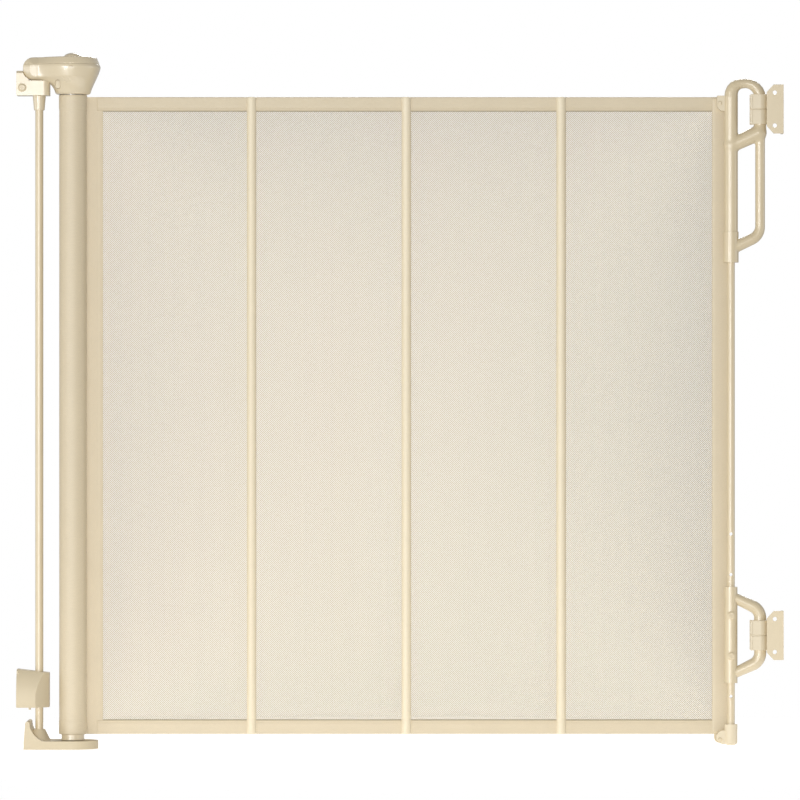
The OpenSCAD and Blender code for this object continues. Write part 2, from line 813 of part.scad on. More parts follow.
module lower_loop_nuts() {
    nut_r = 4.04;
    color(steel) on_bar() for (z = bolt_z) translate([bar_x, sleeve_r, z]) rotate([-90, 30, 0])
        difference() {
            cylinder(r = nut_r, h = 3.2, $fn = 6);
            translate([0, 0, -eps]) cylinder(r = bolt_r + fit, h = 4);
        }
}

// ---- Catches ----

// Plan of a channel that holds the leg, open towards the pull rod
module channel_plan(r, l) {
    circle(r = r);
    translate([-l, -r]) square([l, 2 * r]);
}

module at_catch(z) {
    translate([leg_x, bar_y, z]) children();
}

module catch_jaw(z) {
    lip_l = 2;
    groove_h = 1.6;
    color(paint) at_catch(z) difference() {
        translate([0, 0, -jaw_h / 2]) linear_extrude(jaw_h) difference() {
            union() {
                channel_plan(jaw_or, jaw_depth);
                translate([-jaw_depth, -jaw_or - 1]) square([lip_l, 2 * (jaw_or + 1)]);
            }
            channel_plan(jaw_ir, jaw_depth + eps);
        }
        translate([0, 0, -groove_h / 2]) linear_extrude(groove_h) difference() {
            square(60, center = true);
            channel_plan(jaw_or - 1, jaw_depth);
        }
    }
}

module catch_liner(z) {
    color(liner) at_catch(z) translate([0, 0, -jaw_h / 2 + 1]) linear_extrude(jaw_h - 2) difference() {
        channel_plan(liner_r + liner_t, jaw_depth - 0.5);
        channel_plan(liner_r, jaw_depth);
    }
}

module catch_plate(z) {
    plate_x = wall_r - 22;
    front = bar_y - jaw_or - plate_t;
    flange_depth = 26;
    half = catch_plate_h / 2;
    narrow = half - 9.8;
    flange_screw_y = front + 17;
    flange_hole_pitch = 50;
    color(paint) translate([0, 0, z]) difference() {
        union() {
            translate([0, front + plate_t, 0]) rotate([90, 0, 0]) linear_extrude(plate_t) polygon([
                [plate_x, -narrow], [plate_x + 9, -half], [wall_r, -half],
                [wall_r, half], [plate_x + 9, half], [plate_x, narrow]
            ]);
            translate([wall_r - plate_t, front, -half]) cube([plate_t, flange_depth, catch_plate_h]);
        }
        for (s = [-0.5, 0.5]) {
            translate([wall_r - 11.5, front - eps, s * catch_hole_pitch]) along_y(screw_r, plate_t + 2 * eps);
            translate([wall_r - plate_t - eps, flange_screw_y, s * flange_hole_pitch])
                along_x(wall_screw_r, plate_t + 2 * eps);
        }
    }
}

module catch_plate_top() { catch_plate(catch_z[1]); }
module catch_jaw_top() { catch_jaw(catch_z[1]); }
module catch_liner_top() { catch_liner(catch_z[1]); }
module catch_plate_bottom() { catch_plate(catch_z[0]); }
module catch_jaw_bottom() { catch_jaw(catch_z[0]); }
module catch_liner_bottom() { catch_liner(catch_z[0]); }

top_wall_plate();
top_mount_block();
block_lock_screw();
rod_ferrule();
support_rod();
rod_clamp();
clamp_wall_plate();
clamp_set_screw();
foot_arm();
foot_screw();
lower_spindle();
lower_bearing();
head_body();
head_cover();
head_screws();
lock_indicator();
release_button();
lock_ring();
button_spring();
spring_axle();
torsion_spring();
spring_anchor();
top_bearing();
roller_tube();
roller_top_plug();
roller_bottom_plug();
lock_crown();
sheet_wrap();
leader_panel();
mesh_panel_1();
mesh_panel_2();
mesh_panel_3();
mesh_panel_4();
stiffener_rod_1();
stiffener_rod_2();
stiffener_rod_3();
stiffener_sleeve_1();
stiffener_sleeve_2();
stiffener_sleeve_3();
edge_sleeve();
edge_bar();
edge_rivets();
pull_rod();
top_sheet_clip();
bottom_cap();
handle_loop();
hand_grip();
handle_collar();
lower_sleeve();
lower_loop();
lower_loop_bolts();
lower_loop_nuts();
catch_plate_top();
catch_jaw_top();
catch_liner_top();
catch_plate_bottom();
catch_jaw_bottom();
catch_liner_bottom();
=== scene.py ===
import json
import math

import bmesh
import bpy
import numpy as np
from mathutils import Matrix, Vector

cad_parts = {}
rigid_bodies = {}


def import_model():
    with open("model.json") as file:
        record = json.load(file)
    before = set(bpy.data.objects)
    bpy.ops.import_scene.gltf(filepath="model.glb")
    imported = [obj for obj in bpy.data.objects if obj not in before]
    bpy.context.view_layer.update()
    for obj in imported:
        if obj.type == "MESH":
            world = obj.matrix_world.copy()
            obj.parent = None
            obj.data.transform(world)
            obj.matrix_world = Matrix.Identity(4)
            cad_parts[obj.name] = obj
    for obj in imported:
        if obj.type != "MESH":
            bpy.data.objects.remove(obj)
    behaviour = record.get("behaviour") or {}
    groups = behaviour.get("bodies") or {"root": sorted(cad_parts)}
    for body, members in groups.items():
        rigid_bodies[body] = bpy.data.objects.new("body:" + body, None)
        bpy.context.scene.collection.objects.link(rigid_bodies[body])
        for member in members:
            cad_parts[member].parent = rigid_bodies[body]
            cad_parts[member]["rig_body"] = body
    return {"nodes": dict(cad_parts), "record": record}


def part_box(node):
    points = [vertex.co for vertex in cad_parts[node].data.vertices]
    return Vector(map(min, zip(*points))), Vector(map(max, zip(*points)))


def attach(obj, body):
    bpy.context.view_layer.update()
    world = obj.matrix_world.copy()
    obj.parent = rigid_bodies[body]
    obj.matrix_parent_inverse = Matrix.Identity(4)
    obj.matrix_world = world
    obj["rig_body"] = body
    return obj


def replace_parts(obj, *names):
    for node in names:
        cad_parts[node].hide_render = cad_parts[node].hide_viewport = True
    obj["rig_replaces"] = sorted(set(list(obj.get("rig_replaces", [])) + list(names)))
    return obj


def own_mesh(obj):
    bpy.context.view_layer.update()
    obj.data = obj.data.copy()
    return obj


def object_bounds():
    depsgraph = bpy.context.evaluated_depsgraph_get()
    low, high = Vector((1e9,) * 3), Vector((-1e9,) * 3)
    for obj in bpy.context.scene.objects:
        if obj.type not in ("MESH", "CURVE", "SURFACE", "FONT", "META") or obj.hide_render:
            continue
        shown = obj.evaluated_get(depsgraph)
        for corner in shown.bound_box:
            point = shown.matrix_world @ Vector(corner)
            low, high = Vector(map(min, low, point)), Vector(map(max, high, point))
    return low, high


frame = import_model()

MM = 0.001
CAD_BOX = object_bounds()


# ---- places taken from the frame ----

def corners(node):
    """The node's low and high corners, in millimetres."""
    return [np.array(corner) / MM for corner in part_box(node)]


def middle(node):
    low, high = corners(node)
    return (low + high) / 2


def half_size(node):
    low, high = corners(node)
    return (high - low) / 2


ROLLER_X = middle("sheet_wrap")[0]
WRAP_R = half_size("sheet_wrap")[0]
ROD_X = middle("support_rod")[0]
BAR_X, BAR_Y = middle("pull_rod")[:2]
LEADER_LOW, LEADER_HIGH = corners("leader_panel")
SHEET_LOW, SHEET_TOP = LEADER_LOW[2], LEADER_HIGH[2]
SHEET_Y = (LEADER_LOW[1] + LEADER_HIGH[1]) / 2
EDGE_LOW, EDGE_HIGH = corners("edge_sleeve")
HEM_H = 18  # the width of the top and bottom hems
# the hems fill two thirds of the CAD panel's thickness
HEM_T = 2 * (corners("mesh_panel_1")[1][1] - SHEET_Y) * 2 / 3
SEAM_PITCH = 3.2  # from one stitch to the next, in every seam


# ---- materials ----

def linear(red, green, blue):
    """A screen colour, 0 to 255, as the linear colour that a shader takes."""
    def one(value):
        value /= 255
        return value / 12.92 if value <= 0.04045 else ((value + 0.055) / 1.055) ** 2.4
    return one(red), one(green), one(blue)


def add(tree, kind, inputs=None, **settings):
    """Adds a node to a tree. Each input is a value, or the output that feeds it."""
    node = tree.nodes.new(kind)
    for name, value in settings.items():
        setattr(node, name, value)
    for name, value in (inputs or {}).items():
        if isinstance(value, bpy.types.NodeSocket):
            tree.links.new(value, node.inputs[name])
        else:
            node.inputs[name].default_value = value
    return node


def math_node(tree, operation, first, second=0.0):
    return add(tree, "ShaderNodeMath", {0: first, 1: second}, operation=operation).outputs[0]


def noise(tree, place, scale, detail=2.0, stretch=(1, 1, 1)):
    if stretch != (1, 1, 1):
        place = add(tree, "ShaderNodeMapping", {"Vector": place, "Scale": stretch}).outputs[0]
    made = add(tree, "ShaderNodeTexNoise", {"Vector": place, "Scale": scale, "Detail": detail})
    return made.outputs["Fac"]


def spread(tree, value, low, high):
    """Maps a noise, which mostly lies between 0.3 and 0.7, to the range from low to high."""
    inputs = {"Value": value, "From Min": 0.3, "From Max": 0.7, "To Min": low, "To Max": high}
    return add(tree, "ShaderNodeMapRange", inputs).outputs[0]


def tint(tree, colour, factor):
    """The colour times a factor that varies over the surface."""
    scaled = add(tree, "ShaderNodeVectorMath", {0: colour, "Scale": factor}, operation="SCALE")
    return scaled.outputs[0]


def bump(tree, height, strength, distance):
    made = add(tree, "ShaderNodeBump", {"Height": height, "Strength": strength, "Distance": distance * MM})
    return made.outputs[0]


def start(name):
    """A new material with its tree and its shader."""
    material = bpy.data.materials.new(name)
    material.use_nodes = True
    tree = material.node_tree
    return material, tree, tree.nodes["Principled BSDF"]


def coated(name, colour, roughness, grain, depth, specular=0.5, coat=0.0):
    """Powder coat or moulded plastic. grain is the fine bump's noise scale, and depth its height in mm.
    The tone and the gloss wander a little over the surface."""
    material, tree, shader = start(name)
    place = add(tree, "ShaderNodeTexCoord").outputs["Object"]
    tone = spread(tree, noise(tree, place, 14, 4.0), 0.975, 1.025)
    speck = spread(tree, noise(tree, place, grain * 0.7, 1.0), 0.985, 1.015)
    colour = tint(tree, colour, math_node(tree, "MULTIPLY", tone, speck))
    tree.links.new(colour, shader.inputs["Base Color"])
    gloss = spread(tree, noise(tree, place, 45, 3.0), roughness - 0.04, roughness + 0.06)
    tree.links.new(gloss, shader.inputs["Roughness"])
    tree.links.new(bump(tree, noise(tree, place, grain, 2.0), 0.6, depth), shader.inputs["Normal"])
    shader.inputs["Specular IOR Level"].default_value = specular
    shader.inputs["Coat Weight"].default_value = coat
    shader.inputs["Coat Roughness"].default_value = 0.25
    return material


def metal(name, colour, roughness, stretch):
    """Drawn or plated metal, with fine marks drawn out along one axis."""
    material, tree, shader = start(name)
    place = add(tree, "ShaderNodeTexCoord").outputs["Object"]
    marks = noise(tree, place, 900, 2.0, stretch)
    tree.links.new(tint(tree, colour, spread(tree, marks, 0.93, 1.05)), shader.inputs["Base Color"])
    gloss = spread(tree, noise(tree, place, 120, 3.0), roughness - 0.06, roughness + 0.08)
    tree.links.new(gloss, shader.inputs["Roughness"])
    tree.links.new(bump(tree, marks, 0.4, 0.02), shader.inputs["Normal"])
    shader.inputs["Metallic"].default_value = 1.0
    return material


def woven(name, colour, pitch, sheen):
    """Plain weave: threads pitch millimetres apart, over and under by turns. It needs a UV map in mm."""
    material, tree, shader = start(name)
    place = add(tree, "ShaderNodeUVMap").outputs[0]
    parts = add(tree, "ShaderNodeSeparateXYZ", {0: place})
    across = math_node(tree, "SINE", math_node(tree, "MULTIPLY", parts.outputs[0], math.pi / pitch))
    along = math_node(tree, "SINE", math_node(tree, "MULTIPLY", parts.outputs[1], math.pi / pitch))
    warp = math_node(tree, "ABSOLUTE", across)
    weft = math_node(tree, "ABSOLUTE", along)
    over = math_node(tree, "GREATER_THAN", math_node(tree, "MULTIPLY", across, along), 0.0)
    mixed = add(tree, "ShaderNodeMix", {0: over, 2: warp, 3: weft})
    height = mixed.outputs[0]
    slub = spread(tree, noise(tree, place, 0.9, 3.0, (0.12, 1, 1)), 0.975, 1.02)
    wash = spread(tree, noise(tree, place, 0.02, 3.0), 0.985, 1.015)
    # painted shade: the colour darkens in the valleys between the threads, where the weave's bump sinks
    valley_shade = add(tree, "ShaderNodeMapRange", {"Value": height, "To Min": 0.86, "To Max": 1.04}).outputs[0]
    shade = math_node(tree, "MULTIPLY", math_node(tree, "MULTIPLY", slub, wash), valley_shade)
    tree.links.new(tint(tree, colour, shade), shader.inputs["Base Color"])
    tree.links.new(bump(tree, height, 0.5, 0.08), shader.inputs["Normal"])
    shader.inputs["Roughness"].default_value = 0.42
    shader.inputs["Specular IOR Level"].default_value = 0.8
    shader.inputs["Sheen Weight"].default_value = sheen
    shader.inputs["Sheen Roughness"].default_value = 0.45
    return material


def thread(name, colour, twist, sheen):
    """Twisted yarn: the UV map runs along it in millimetres and once round it."""
    material, tree, shader = start(name)
    place = add(tree, "ShaderNodeUVMap").outputs[0]
    parts = add(tree, "ShaderNodeSeparateXYZ", {0: place})
    along = math_node(tree, "MULTIPLY", parts.outputs[0], 2 * math.pi / twist)
    turn = math_node(tree, "MULTIPLY", parts.outputs[1], 2 * math.pi)
    ply = math_node(tree, "SINE", math_node(tree, "ADD", along, turn))
    # painted shade: the colour darkens in the grooves between the plies, following the bump
    shade = add(tree, "ShaderNodeMapRange", {"Value": ply, "From Min": -1, "To Min": 0.93, "To Max": 1.04})
    fuzz = spread(tree, noise(tree, place, 0.5, 3.0), 0.97, 1.03)
    factor = math_node(tree, "MULTIPLY", shade.outputs[0], fuzz)
    tree.links.new(tint(tree, colour, factor), shader.inputs["Base Color"])
    tree.links.new(bump(tree, ply, 0.5, 0.05), shader.inputs["Normal"])
    shader.inputs["Roughness"].default_value = 0.7
    shader.inputs["Specular IOR Level"].default_value = 0.3
    shader.inputs["Sheen Weight"].default_value = sheen
    shader.inputs["Sheen Roughness"].default_value = 0.4
    return material


CREAM = linear(205, 190, 160)
PALE = linear(216, 203, 176)
FINISH = {
    "painted_steel": coated("cream_powder_coat", linear(206, 190, 157), 0.32, 1100, 0.03, 0.8, 0.5),
    "moulded_plastic": coated("cream_moulded_plastic", linear(210, 195, 164), 0.31, 2400, 0.015, 1.0, 0.9),
    "pale_plastic": coated("pale_moulded_plastic", PALE, 0.45, 2400, 0.015, 0.4),
    "steel": metal("zinc_plated_steel", (0.62, 0.61, 0.6), 0.34, (1, 1, 0.2)),
    "tube_aluminium": metal("drawn_aluminium", (0.74, 0.74, 0.75), 0.3, (1, 1, 0.02)),
    "bearing_plastic": coated("natural_acetal", linear(190, 186, 178), 0.35, 1500, 0.01),
    "liner_rubber": coated("soft_cream_liner", linear(205, 192, 164), 0.6, 3200, 0.02, 0.3),
    "solid_cloth": woven("plain_woven_cloth", CREAM, 0.45, 0.12),
    "mesh_fabric": thread("net_yarn", linear(220, 206, 176), 0.6, 0.15),
}
MATT_COAT = coated("cream_matt_coat", linear(200, 186, 157), 0.5, 1100, 0.03, 0.5)
# dark yarn for the hems' overlock welts: seam thread, darkened to paint the shadow line under each hem's fold
SEAM_AND_SHADOW_YARN = thread("seam_and_shadow_yarn", linear(158, 146, 120), 0.5, 0.1)
STITCH_YARN = thread("stitch_yarn", linear(212, 198, 168), 0.4, 0.1)
SLEEVE_CLOTH = woven("stiffener_sleeve_cloth", linear(226, 213, 184), 0.4, 0.2)
SLOT = {part["node"]: part["material_slot"] for part in frame["record"]["subparts"]}


# ---- making meshes ----

def piece(name, points, faces, body, slot, material=None, uv=None):
    """A smooth mesh from points in millimetres, riding on a body. uv gives one pair for each point."""
    mesh = bpy.data.meshes.new(name)
    points = np.asarray(points, float) * MM
    mesh.from_pydata(points.tolist(), [], [list(map(int, face)) for face in faces])
    if uv is not None:
        corner_points = np.zeros(len(mesh.loops), int)
        mesh.loops.foreach_get("vertex_index", corner_points)
        layer = mesh.uv_layers.new(name="cloth")
        layer.data.foreach_set("uv", np.asarray(uv, float)[corner_points].ravel())
    mesh.materials.append(material or FINISH[slot])
    mesh.shade_smooth()
    obj = bpy.data.objects.new(name, mesh)
    bpy.context.scene.collection.objects.link(obj)
    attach(obj, body)
    return obj


def joined(parts):
    """Several (points, faces, uv) meshes as one."""
    points, faces, uv, count = [], [], [], 0
    for part_points, part_faces, part_uv in parts:
        points.append(part_points)
        faces.extend((np.asarray(face) + count).tolist() for face in part_faces)
        uv.append(part_uv)
        count += len(part_points)
    return np.concatenate(points), faces, np.concatenate(uv)


def loft(rings, uv, closed=False):
    """Joins equal rings of points in order, and caps the ends, or joins the last ring to the first."""
    rings = np.asarray(rings)
    stations, sides = rings.shape[:2]
    faces = []
    for i in range(stations if closed else stations - 1):
        near, far = i * sides, (i + 1) % stations * sides
        faces += [(near + j, near + (j + 1) % sides, far + (j + 1) % sides, far + j) for j in range(sides)]
    if not closed:
        faces.append(tuple(range(sides))[::-1])
        faces.append(tuple((stations - 1) * sides + j for j in range(sides)))
    return rings.reshape(-1, 3), faces, np.asarray(uv).reshape(-1, 2)


def refine(node, width, material=None):
    """The node's own shape as one welded mesh, with its edges over 30 degrees rounded by width."""
    source = frame["nodes"][node]
    mesh = bpy.data.meshes.new(node + "_shell")
    work = bmesh.new()
    work.from_mesh(source.data)
    bmesh.ops.remove_doubles(work, verts=work.verts, dist=0.01 * MM)
    nearly_flat = math.radians(0.8)
    bmesh.ops.dissolve_limit(work, angle_limit=nearly_flat, verts=work.verts, edges=work.edges)
    work.to_mesh(mesh)
    work.free()
    unused = [layer.name for layer in mesh.attributes if layer.name in ("custom_normal", "UVMap")]
    for name in unused:
        mesh.attributes.remove(mesh.attributes[name])
    slot = SLOT[node]
    mesh.materials.clear()
    mesh.materials.append(material or FINISH[slot])
    mesh.shade_smooth()
    obj = bpy.data.objects.new(node + "_finished", mesh)
    bpy.context.scene.collection.objects.link(obj)
    edge = obj.modifiers.new("rounded edges", "BEVEL")
    edge.width = width * MM
    edge.segments = 2
    edge.limit_method = "ANGLE"
    edge.angle_limit = math.radians(30)
    edge.use_clamp_overlap = True
    obj.modifiers.new("even shading", "WEIGHTED_NORMAL")
    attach(obj, source["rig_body"])
    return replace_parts(obj, node)


# ---- solid shapes from distance fields ----

def smooth_max(a, b, k):
    """The larger of two distances, with the edge between them rounded over k."""
    blend = np.maximum(k - np.abs(a - b), 0) / k
    return np.maximum(a, b) + blend * blend * k / 4


def smooth_min(a, b, k):
    return -smooth_max(-a, -b, k)


def ramp(value, ease):
    """Zero below zero and value above it, eased over the corner."""
    return (value + np.sqrt(value * value + ease * ease)) / 2


def tube_field(p, path, radii):
    """Distance to a round tube along a path, with a radius at each of its points."""
    best = np.full(len(p), 1e9)
    for a, b, r_a, r_b in zip(path[:-1], path[1:], radii[:-1], radii[1:]):
        along = b - a
        t = np.clip((p - a) @ along / (along @ along), 0, 1)
        gap = np.linalg.norm(p - a - t[:, None] * along, axis=1) - (r_a + t * (r_b - r_a))
        best = np.minimum(best, gap)
    return best


def surface_net(field, low, high, step):
    """The surface where field is zero inside a box: a point in each cell it crosses, joined by quads."""
    axes = [np.arange(low[i] - 1.5 * step, high[i] + 2.5 * step, step) for i in range(3)]
    shape = tuple(len(axis) for axis in axes)
    grid = np.stack(np.meshgrid(*axes, indexing="ij"), -1).reshape(-1, 3)
    batches = np.array_split(grid, 1 + len(grid) // 200000)
    value = np.concatenate([field(batch) for batch in batches]).reshape(shape)
    origin = np.array([axis[0] for axis in axes])
    total, count, rings = np.zeros(shape + (3,)), np.zeros(shape), []
    for d in range(3):
        near = np.moveaxis(value, d, 0)[:-1]
        far = np.moveaxis(value, d, 0)[1:]
        hit = np.argwhere((near < 0) != (far < 0))
        a, b = near[tuple(hit.T)], far[tuple(hit.T)]
        hit = np.insert(hit[:, 1:], d, hit[:, 0], axis=1)
        unit = np.eye(3, dtype=int)
        where = origin + step * (hit + unit[d] * (a / (a - b))[:, None])
        e, f = unit[(d + 1) % 3], unit[(d + 2) % 3]
        cells = [hit, hit - e, hit - e - f, hit - f]
        for cell in cells:
            np.add.at(total, tuple(cell.T), where)
            np.add.at(count, tuple(cell.T), 1)
        ring = np.stack(cells, 1)
        ring[a >= 0] = ring[a >= 0][:, ::-1]
        rings.append(ring)
    used = np.argwhere(count > 0)
    number = np.zeros(shape, int)
    number[tuple(used.T)] = np.arange(len(used))
    points = total[tuple(used.T)] / count[tuple(used.T)][:, None]
    faces = np.concatenate([number[tuple(np.moveaxis(ring, 2, 0))] for ring in rings])
    for _ in range(4):
        points = settle(field, points, step)
    return points, faces


def settle(field, points, step):
    """Moves points along the field's slope on to its surface, at most a fifth of a step at once."""
    probe = 0.05
    units = np.eye(3)
    rises = [field(points + probe * unit) - field(points - probe * unit) for unit in units]
    slope = np.stack(rises, 1) / (2 * probe)
    steep = np.maximum((slope * slope).sum(1), 0.05)
    move = -slope * (field(points) / steep)[:, None]
    far = np.maximum(np.linalg.norm(move, axis=1) / (0.2 * step), 1)
    return points + move / far[:, None]


def sculpt(name, field, low, high, step, body, slot, *nodes):
    """A piece with the shape of a distance field, in place of some nodes."""
    points, faces = surface_net(field, np.asarray(low), np.asarray(high), step)
    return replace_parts(piece(name, points, faces, body, slot), *nodes)


# ---- the sheet: net, hems, leader and edge sleeve ----

def with_retraction(obj):
    """As the gate opens the sheet winds on to the roller; here each piece only gets its own copy of its mesh,
    and nothing makes it shrink towards the roller's axis.
    """
    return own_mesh(obj)


def net_threads(lean, y):
    """One family of the net's flat threads, clipped to the net's rectangle. They run at 45 degrees, lattice
    apart along X. lean is 1 or -1, and x + lean * z is the same all along a thread."""
    tuck = 2  # how far the net goes in under its hems
    low_x, high_x = LEADER_HIGH[0] - tuck, EDGE_LOW[0] + tuck
    low_z, high_z = SHEET_LOW + HEM_H - tuck, SHEET_TOP - HEM_H + tuck
    lattice, half_w, half_t, sides = 2.6162, 0.37, 0.18, 6
    across = np.array([1, 0, lean]) / math.sqrt(2)
    angles = np.arange(sides) * 2 * math.pi / sides
    section = [half_w * math.cos(a) * across + half_t * math.sin(a) * np.array([0, 1, 0]) for a in angles]
    first = low_x + min(lean * low_z, lean * high_z)
    last = high_x + max(lean * low_z, lean * high_z)
    # both families pass through one point, close to the gate's middle
    centre = (np.array(CAD_BOX[0]) + np.array(CAD_BOX[1])) / 2 / MM
    cross_x, cross_z = centre[0] + 0.35, centre[2] + 0.05
    first += (cross_x + lean * cross_z - first) % lattice
    parts = []
    for sum_xz in np.arange(first, last, lattice):
        x_at_ends = sorted((sum_xz - low_z * lean, sum_xz - high_z * lean))
        x_0, x_1 = max(low_x, x_at_ends[0]), min(high_x, x_at_ends[1])
        if x_1 - x_0 < 1:
            continue
        ends = [np.array([x, y, (sum_xz - x) * lean]) for x in (x_0, x_1)]
        uv = [[(x * math.sqrt(2), side / sides) for side in range(sides)] for x in (x_0, x_1)]
        parts.append(loft([[end + offset for offset in section] for end in ends], uv))
    return parts


def strip(along, along_0, along_1, across_0, across_1, thick, seams):
    """A folded strip of cloth as rings across it: round at its fold, across_0, thin at its raw edge,
    across_1, and drawn in along each seam. along is 0 for a strip that runs in X and 2 for one in Z."""
    seam_w, seam_depth, raw_edge_t = 0.7, 0.3, 0.3 * thick
    width, side = abs(across_1 - across_0), np.sign(across_1 - across_0)
    fold = [thick / 2 * (1 - math.cos(a)) for a in np.linspace(0, math.pi / 2, 5)]
    seam_steps = [seam + offset * seam_w for seam in seams for offset in (-2, -1, 0, 1, 2)]
    even_steps = list(np.linspace(3, width - 0.3, 6))
    steps = np.array(sorted({round(d, 3) for d in fold + seam_steps + even_steps}))
    steps = np.append(steps[steps < width - 0.2], width)
    half = np.where(steps < thick / 2, np.sqrt(np.maximum(thick * steps - steps**2, 0)), thick / 2)
    half = np.where(steps > width - 0.25, raw_edge_t, half)
    rings, uv = [], []
    for t in np.arange(along_0, along_1 + SEAM_PITCH / 4, SEAM_PITCH / 4):
        t = min(t, along_1)
        pull = 0.75 + 0.25 * math.cos(2 * math.pi * t / SEAM_PITCH)
        drawn = half.copy()
        for seam in seams:
            drawn *= 1 - seam_depth * pull * np.exp(-(((steps - seam) / seam_w) ** 2))
        front = [(d, h, -1) for d, h in zip(steps, drawn)]
        back = [(d, h, 1) for d, h in zip(steps[:0:-1], drawn[:0:-1])]
        ring, ring_uv = [], []
        for d, h, face in front + back:
            point = np.zeros(3)
            point[along] = t
            point[2 - along] = across_0 + side * d
            point[1] = SHEET_Y + face * h
            ring.append(point)
            ring_uv.append((t, d * face))
        rings.append(ring)
        uv.append(ring_uv)
    return loft(rings, uv)


def stitches(along, along_0, along_1, across, depth):
    """A row of stitches on both faces of the sheet, each a small round-backed loop of yarn.
    depth is the distance from the sheet's middle to the cloth's face along the row."""
    length, width, height, half_yarn, sides = 2.3, 0.5, 0.22, 0.2, 6
    shape = [(-1, 0), (-0.6, 0.8), (0, 1), (0.6, 0.8), (1, 0)]
    parts = []
    for face in (-1, 1):
        for t in np.arange(along_0 + SEAM_PITCH / 2, along_1 - SEAM_PITCH / 2, SEAM_PITCH):
            rings, uv = [], []
            for s, rise in shape:
                ring = []
                for a in np.arange(sides) * 2 * math.pi / sides:
                    point = np.zeros(3)
                    point[along] = t + s * length / 2
                    point[2 - along] = across + math.cos(a) * width / 2 * (0.35 + 0.65 * rise)
                    point[1] = SHEET_Y + face * (depth + height * rise) + math.sin(a) * half_yarn
                    ring.append(point)
                rings.append(ring)
                uv.append([(s * length / 2, j / sides) for j in range(sides)])
            parts.append(loft(rings, uv))
    return joined(parts)


def make_sheet():
    """The sheet from the roller to the pull bar: the net, its hems with their seams, and the leader."""
    hem_low, hem_high = SHEET_LOW + HEM_H, SHEET_TOP - HEM_H
    # the hems lap over the leader and go in under the edge sleeve
    hem_start, hem_end = LEADER_HIGH[0] - 7.5, EDGE_LOW[0] + 1.5
    seam = HEM_H - 3
    parts = {}

    def cloth(name, shape, slot="solid_cloth", material=None):
        points, faces, uv = shape
        made = piece(name, points, faces, "post", slot, material, uv)
        parts[name] = made
        return made

    half_gap = 0.15  # the two families of threads lie one behind the other
    threads = net_threads(1, SHEET_Y - half_gap) + net_threads(-1, SHEET_Y + half_gap)
    net = cloth("net_panel", joined(threads), "mesh_fabric")
    cloth("top_hem", strip(0, hem_start, hem_end, SHEET_TOP, hem_high, HEM_T, [seam]))
    cloth("bottom_hem", strip(0, hem_start, hem_end, SHEET_LOW, hem_low, HEM_T, [seam]))
    for name, z in (("top", SHEET_TOP - seam), ("bottom", SHEET_LOW + seam)):
        row = stitches(0, hem_start, hem_end, z, HEM_T * 0.36)
        cloth(name + "_hem_stitches", row, "solid_cloth", STITCH_YARN)

    # overlock and painted shadow: a darker welt of yarn along each hem's raw edge. It is the seam thread, and
    # its dark tone also paints the shadow line that the hem's fold casts on the net
    welt_r, sides = 0.6, 8
    angles = np.arange(sides) * 2 * math.pi / sides
    for name, z in (("top", hem_high - 0.4), ("bottom", hem_low + 0.4)):
        rings, uv = [], []
        for x in np.arange(LEADER_HIGH[0], EDGE_LOW[0] + 1, SEAM_PITCH / 2):
            swell = welt_r * (1 + 0.12 * math.cos(2 * math.pi * x / SEAM_PITCH))
            ring = [(x, SHEET_Y + swell * 1.1 * math.sin(a), z + swell * math.cos(a)) for a in angles]
            rings.append(ring)
            uv.append([(x, j / sides) for j in range(sides)])
        cloth(name + "_hem_overlock_and_shadow_line", loft(rings, uv), "solid_cloth", SEAM_AND_SHADOW_YARN)

    # leader: plain cloth from the roller, drawn in by two seams where the net is sewn to it
    leader_t, leader_end = 1.1, LEADER_HIGH[0] + 0.2
    seams = [1.6, 6.2]
    plain_strip = strip(2, SHEET_LOW, SHEET_TOP, leader_end, ROLLER_X + 4, leader_t, seams)
    leader = cloth("leader_cloth", plain_strip)
    row = stitches(2, SHEET_LOW, SHEET_TOP, leader_end - seams[0], 0.42)
    cloth("leader_stitches", row, "solid_cloth", STITCH_YARN)
    for made in parts.values():
        with_retraction(made)
    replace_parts(net, "mesh_panel_1", "mesh_panel_2", "mesh_panel_3", "mesh_panel_4")
    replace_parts(leader, "leader_panel")


